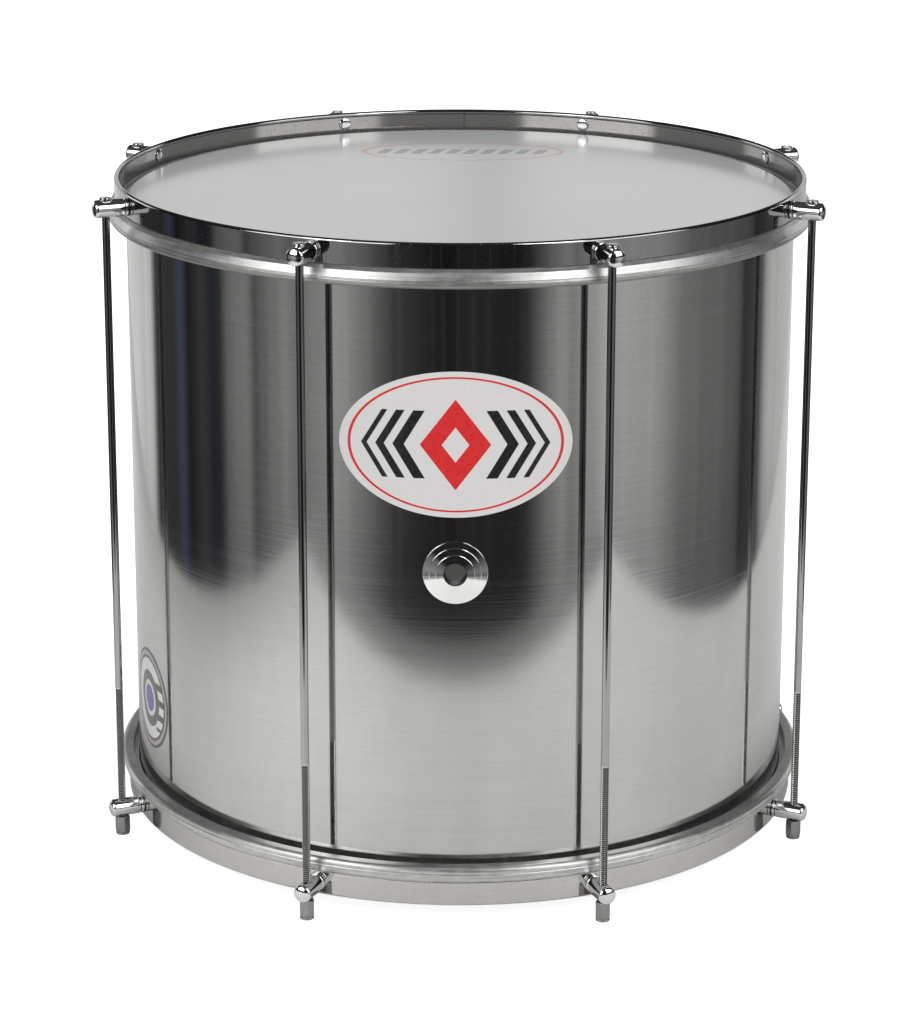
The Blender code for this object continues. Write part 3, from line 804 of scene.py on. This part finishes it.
def build_tension_sets(post_metal, rod_metal, nut_metal):
    """Posts, washers, rods and nuts, at each of the eight places."""
    post = post_shape()
    washer = washer_shape()
    rod = rod_shape()
    nut = nut_shape()
    for i, angle in enumerate(rod_angles(), start=1):
        upper = on_rod_circle(angle, UPPER_POST_Z)
        lower = on_rod_circle(angle, LOWER_POST_Z, over=True)
        slot_turn = math.radians(ROD_SLOT_TURNS[i - 1])
        rod_place = on_rod_circle(angle, ROD_END_Z) @ Matrix.Rotation(slot_turn, 4, "Z")
        nut_place = on_rod_circle(angle, 0.0)
        for name, shape, place, finish, body, slot, node in (
            ("upper_post", post, upper, post_metal, "top_hoop", "chrome", "top_post"),
            ("upper_washer", washer, upper, post_metal, "top_hoop", "chrome", "top_washer"),
            ("lower_post", post, lower, post_metal, "drum", "chrome", "bottom_post"),
            ("lower_washer", washer, lower, post_metal, "drum", "chrome", "bottom_washer"),
            ("rod", rod, rod_place, rod_metal, "top_hoop", "rod_chrome", "tension_rod"),
            ("nut_piece", nut, nut_place, nut_metal, f"nut_{i}", "zinc", "tension_nut"),
        ):
            dress(f"{name}_{i}", copy_at(shape, place), finish, body, slot, f"{node}_{i}")


def build_vent(finish):
    """A stepped plate that fits the shell, with a neck through the wall and an open bore."""
    back = SHELL_RADIUS + CLEARANCE
    face = back + 1.6
    boss = back + 6.0
    rim = VENT_BORE_RADIUS + 0.5
    corners = [
        (0, back - 23, 0),
        (23, back - 23, 0),
        (23, back + 0.8, 0.35),
        (18.4, back + 1.95, 0.15),
        (18.4, back + 2.5, 0.25),
        (13.8, back + 3.65, 0.15),
        (13.8, back + 4.2, 0.25),
        (8, back + 5.6, 0),
        (0, back + 5.6, 0),
    ]
    plate = as_mesh(turned(rounded_corners(corners, closed=False), VENT_STEPS))
    plate.transform(front_at(VENT_Z))
    plate = combined(plate, rod_of(back, 0, 520, RING_STEPS), "DIFFERENCE")
    neck_end = SHELL_RADIUS - SHELL_WALL - CLEARANCE - 2.0 - 1.2
    neck = rod_of(VENT_NECK_RADIUS, neck_end, face)
    neck.transform(front_at(VENT_Z))
    bore_outline = [
        (0, 220),
        (VENT_BORE_RADIUS, 220),
        (VENT_BORE_RADIUS, boss - 1.4),
        (rim, boss - 0.6),
        (rim + 0.5, boss + 1),
        (0, boss + 1),
    ]
    bore = as_mesh(turned(bore_outline))
    bore.transform(front_at(VENT_Z))
    vent = combined(combined(plate, neck, "UNION"), bore, "DIFFERENCE")
    dress("vent", vent, finish, "drum", "chrome", "vent_escutcheon")


def build_plates():
    """An oval badge on the front and a round sticker at the left, both hugging the shell."""
    low = 40
    high = 470
    under = SHELL_RADIUS + 0.03
    face = SHELL_RADIUS + 0.18
    for name, turn, height, half_width, half_height, motif in (
        ("oval_badge", 0, 355.0, 81.5, 52.75, lozenge_motif),
        ("round_sticker", -68, 106.5, 38.8, 38.8, wheel_motif),
    ):
        skin = as_mesh(turned([(under, low), (face, low), (face, high), (under, high)], RING_STEPS))
        cutter = rod_of(1 / MM, 200, 300, PLATE_STEPS)
        cutter.transform(Matrix.Diagonal((half_width * MM, half_height * MM, 1, 1)))
        cutter.transform(Matrix.Rotation(math.radians(turn), 4, "Z") @ front_at(height))
        sheet = combined(skin, cutter, "INTERSECT")
        finish = printed_plate(name, turn, height, half_width, half_height, motif)
        dress(name, sheet, finish, "drum", "milky_film")


def table_white():
    """White paint that glows to the camera. The metal mirrors its colour: a painted shadow at the drum's
    sides and back, a painted pool of light at the front left, and painted shade at the left and front edges.
    """
    finish = Finish("table_white", 0.7, 0.0, (0.78, 0.78, 0.78))
    side = finish.part(X)
    depth = finish.part(Y)
    # Painted shadow of the drum on the table, at its sides and back.
    behind = finish.fall(finish.reach(side, depth), 0.28, 0.42) * finish.step(depth, -0.22, 0.0)
    # A painted pool of light at the front left.
    from_pool = finish.reach(side + 0.38, depth + 0.38)
    lit = finish.mix(finish.fall(from_pool, 0.05, 0.42), (0.78, 0.78, 0.775), (0.93, 0.93, 0.925))
    lit = finish.mix(0.45 * behind, lit, (0.0, 0.0, 0.0))
    # Painted shade towards the left edge.
    lit = finish.mix(finish.step(side, -0.82, -0.55), (0.55, 0.55, 0.545), lit)
    # Painted shade at the front edge.
    finish.set("Base Color", finish.mix(finish.step(depth, -0.77, -0.7), (0.2, 0.2, 0.2), lit))
    camera_ray = finish.node("ShaderNodeLightPath")
    finish.set("Emission Color", finish.mix(camera_ray, (0, 0, 0), (0.86, 0.86, 0.86)))
    finish.set("Emission Strength", 1.0)
    return finish.material


def build_stage():
    """The white table, and the dim room with its pale panels that the metal mirrors."""
    top = bmesh.new()
    bmesh.ops.create_grid(top, x_segments=1, y_segments=1, size=0.5)
    bmesh.ops.scale(top, vec=(1.6, 4.42, 1), verts=top.verts)
    bmesh.ops.translate(top, vec=(-0.025, 1.38, 0), verts=top.verts)
    table = bpy.data.objects.new("table", as_mesh(top))
    table.data.materials.append(table_white())

    ball = bmesh.new()
    bmesh.ops.create_uvsphere(ball, u_segments=64, v_segments=32, radius=ROOM_RADIUS)
    bmesh.ops.reverse_faces(ball, faces=ball.faces)
    room = bpy.data.objects.new("room", as_mesh(ball))
    room.visible_camera = False
    room.visible_diffuse = False
    room.visible_transmission = False
    room.visible_shadow = False
    room.data.materials.append(room_light())
    for thing in (table, room):
        bpy.context.scene.collection.objects.link(thing)


def room_light():
    """Brightness by direction: dark behind the camera, pale panels at the sides, white at the back."""
    finish = Finish("room")
    finish.tree.nodes.remove(finish.shader)
    where = finish.node("ShaderNodeTexCoord", output=3)
    towards_front = 0.0 - finish.part(Y, where)
    azimuth = finish.maths("ARCTAN2", finish.part(X, where), towards_front) / (2 * math.pi) + 0.5
    # Degrees from the front, to the right if positive, and the light's level or colour
    panels = [
        (-180, 0.8), (-130, 0.75), (-126, 0.05), (-112, 0.05), (-108, (0.07, 0.09, 0.15)), (-104, 0.018),
        (-95, 0.06), (-91, (0.02, 0.026, 0.042)), (-87, 0.035), (-83, 0.21), (-75, 0.3), (-72, 0.11),
        (-60, 0.34), (-55, 0.25), (-39, 0.45), (-27, 0.18), (-21, 0.07), (-10, 0.03), (-4, 0.017),
        (4, 0.032), (19, 0.024), (23, 0.05), (35, 0.42), (38, 0.33), (50, 0.58), (70, 0.48), (80, 0.24),
        (98, 0.19), (109, 0.13), (112, 0.045), (124, 0.1), (130, 0.6),
    ]
    stops = [((angle + 180) / 360, level) for angle, level in panels]
    around = finish.node("ShaderNodeValToRGB", {"stops": stops}, {0: azimuth})
    across = finish.node("ShaderNodeCombineXYZ", {}, {0: azimuth * 90})
    folds = finish.noise(across, 1.0, 3.0, 0.6)
    glints = 0.03 * finish.step(finish.noise(across, 2.3, 1.0), 0.55, 0.7)
    around = finish.mix(1.0, around, finish.mix(folds, (0.7, 0.7, 0.7), (1.3, 1.3, 1.3)), "MULTIPLY")
    around = finish.mix(1.0, around, finish.mix(glints, (0, 0, 0), (1.0, 0.97, 0.93)), "ADD")
    up = finish.part(Z, where) / ROOM_RADIUS
    around = finish.mix(finish.step(up, -0.33, -0.22, 0.45, 0.0), around, (0.0, 0.0, 0.0))
    ceiling_stops = [(0.0, 0.012), (0.35, 0.02), (1.0, 0.06)]
    ceiling = finish.node("ShaderNodeValToRGB", {"stops": ceiling_stops}, {0: up})
    level = finish.mix(finish.step(up, -0.02, 0.08), around, ceiling)
    rising = finish.maths("ARCSINE", up)
    soft = 2
    for turn, half_turn, rise, half_rise, bright in SOFTBOXES:
        sideways = finish.size(azimuth - (turn + 180) / 360)
        upwards = finish.size(rising - math.radians(rise))
        inside_turn = finish.fall(sideways, (half_turn - soft) / 360, (half_turn + soft) / 360)
        inside_rise = finish.fall(upwards, math.radians(half_rise - soft), math.radians(half_rise + soft))
        level = finish.mix(inside_turn * inside_rise, level, (bright, bright, bright))
    glow = finish.node("ShaderNodeEmission", {}, {"Color": level, "Strength": 1.0})
    output = finish.tree.nodes["Material Output"]
    finish.tree.links.new(glow.socket, output.inputs["Surface"])
    return finish.material


def light_world():
    """A white world, a little dimmer where it is a light and isn't seen."""
    world = bpy.data.worlds.new("studio")
    bpy.context.scene.world = world
    world.use_nodes = True
    tree = world.node_tree
    background = tree.nodes["Background"]
    background.inputs["Color"].default_value = (1, 1, 1, 1)
    path = tree.nodes.new("ShaderNodeLightPath")
    seen = path.outputs["Is Camera Ray"]
    for kind in ("Is Glossy Ray", "Is Transmission Ray"):
        either = tree.nodes.new("ShaderNodeMath")
        either.operation = "MAXIMUM"
        tree.links.new(seen, either.inputs[0])
        tree.links.new(path.outputs[kind], either.inputs[1])
        seen = either.outputs[0]
    strength = tree.nodes.new("ShaderNodeMapRange")
    tree.links.new(seen, strength.inputs["Value"])
    strength.inputs["To Min"].default_value = 0.85
    strength.inputs["To Max"].default_value = 1.0
    tree.links.new(strength.outputs[0], background.inputs["Strength"])


def place_lamps():
    """Two soft lamps at the front, and one inside the drum for the light that comes through the heads."""
    aim_at = Vector((0, 0, 0.3))
    for name, spot, size, power in (
        ("soft_key", (1.2, -1.9, 2.2), 0.9, 18),
        ("soft_fill", (-1.6, -1.6, 1.9), 0.6, 8),
    ):
        lamp = bpy.data.lights.new(name, "AREA")
        lamp.size = size
        lamp.energy = power
        thing = bpy.data.objects.new(name, lamp)
        thing.location = spot
        aim = aim_at - Vector(spot)
        thing.rotation_euler = aim.to_track_quat("-Z", "Y").to_euler()
        bpy.context.scene.collection.objects.link(thing)
    glow = bpy.data.lights.new("light_through_heads", "POINT")
    glow.shadow_soft_size = 0.08
    glow.energy = 0.35
    inside = bpy.data.objects.new("light_through_heads", glow)
    inside.location = (0, 0, 0.36)
    bpy.context.scene.collection.objects.link(inside)


def place_camera():
    """A long lens above the drum's upper edge, tilted down, with its frame shifted."""
    around = 0.68
    distance = 2.3096
    height = 0.9539
    tilt_down = 14.756
    roll = 0.101
    lens = bpy.data.cameras.new("camera")
    lens.sensor_width = 36
    lens.lens = 107.81
    lens.shift_y = -0.1456
    lens.clip_end = 100
    camera = bpy.data.objects.new("camera", lens)
    turned_round = Matrix.Rotation(math.radians(around), 4, "Z")
    spot = turned_round @ Matrix.Translation((0, -distance, height))
    tilted = Matrix.Rotation(math.radians(90 - tilt_down), 4, "X")
    rolled = Matrix.Rotation(math.radians(roll), 4, "Z")
    camera.matrix_world = spot @ tilted @ rolled
    bpy.context.scene.collection.objects.link(camera)
    bpy.context.scene.camera = camera


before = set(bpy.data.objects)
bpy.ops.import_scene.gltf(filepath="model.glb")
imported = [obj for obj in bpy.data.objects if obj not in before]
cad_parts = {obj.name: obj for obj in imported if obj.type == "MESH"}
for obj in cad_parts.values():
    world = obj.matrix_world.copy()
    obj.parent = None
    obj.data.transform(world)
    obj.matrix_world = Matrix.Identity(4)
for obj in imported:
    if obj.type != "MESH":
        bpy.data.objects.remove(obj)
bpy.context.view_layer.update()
bpy.context.scene.view_settings.view_transform = "Standard"
place_camera()
light_world()
place_lamps()
build_stage()

chrome = mirror_chrome("chrome", 0.03, (0.78, 0.785, 0.79))
build_shell(brushed_shell())
build_plates()
build_rings(milky_head(), scratched_aluminium(), rolled_band())
build_tension_sets(chrome, threaded_chrome(), satin_zinc())
build_vent(vent_chrome())
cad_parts["vent_backing_ring"].material_slots[0].material = chrome.material
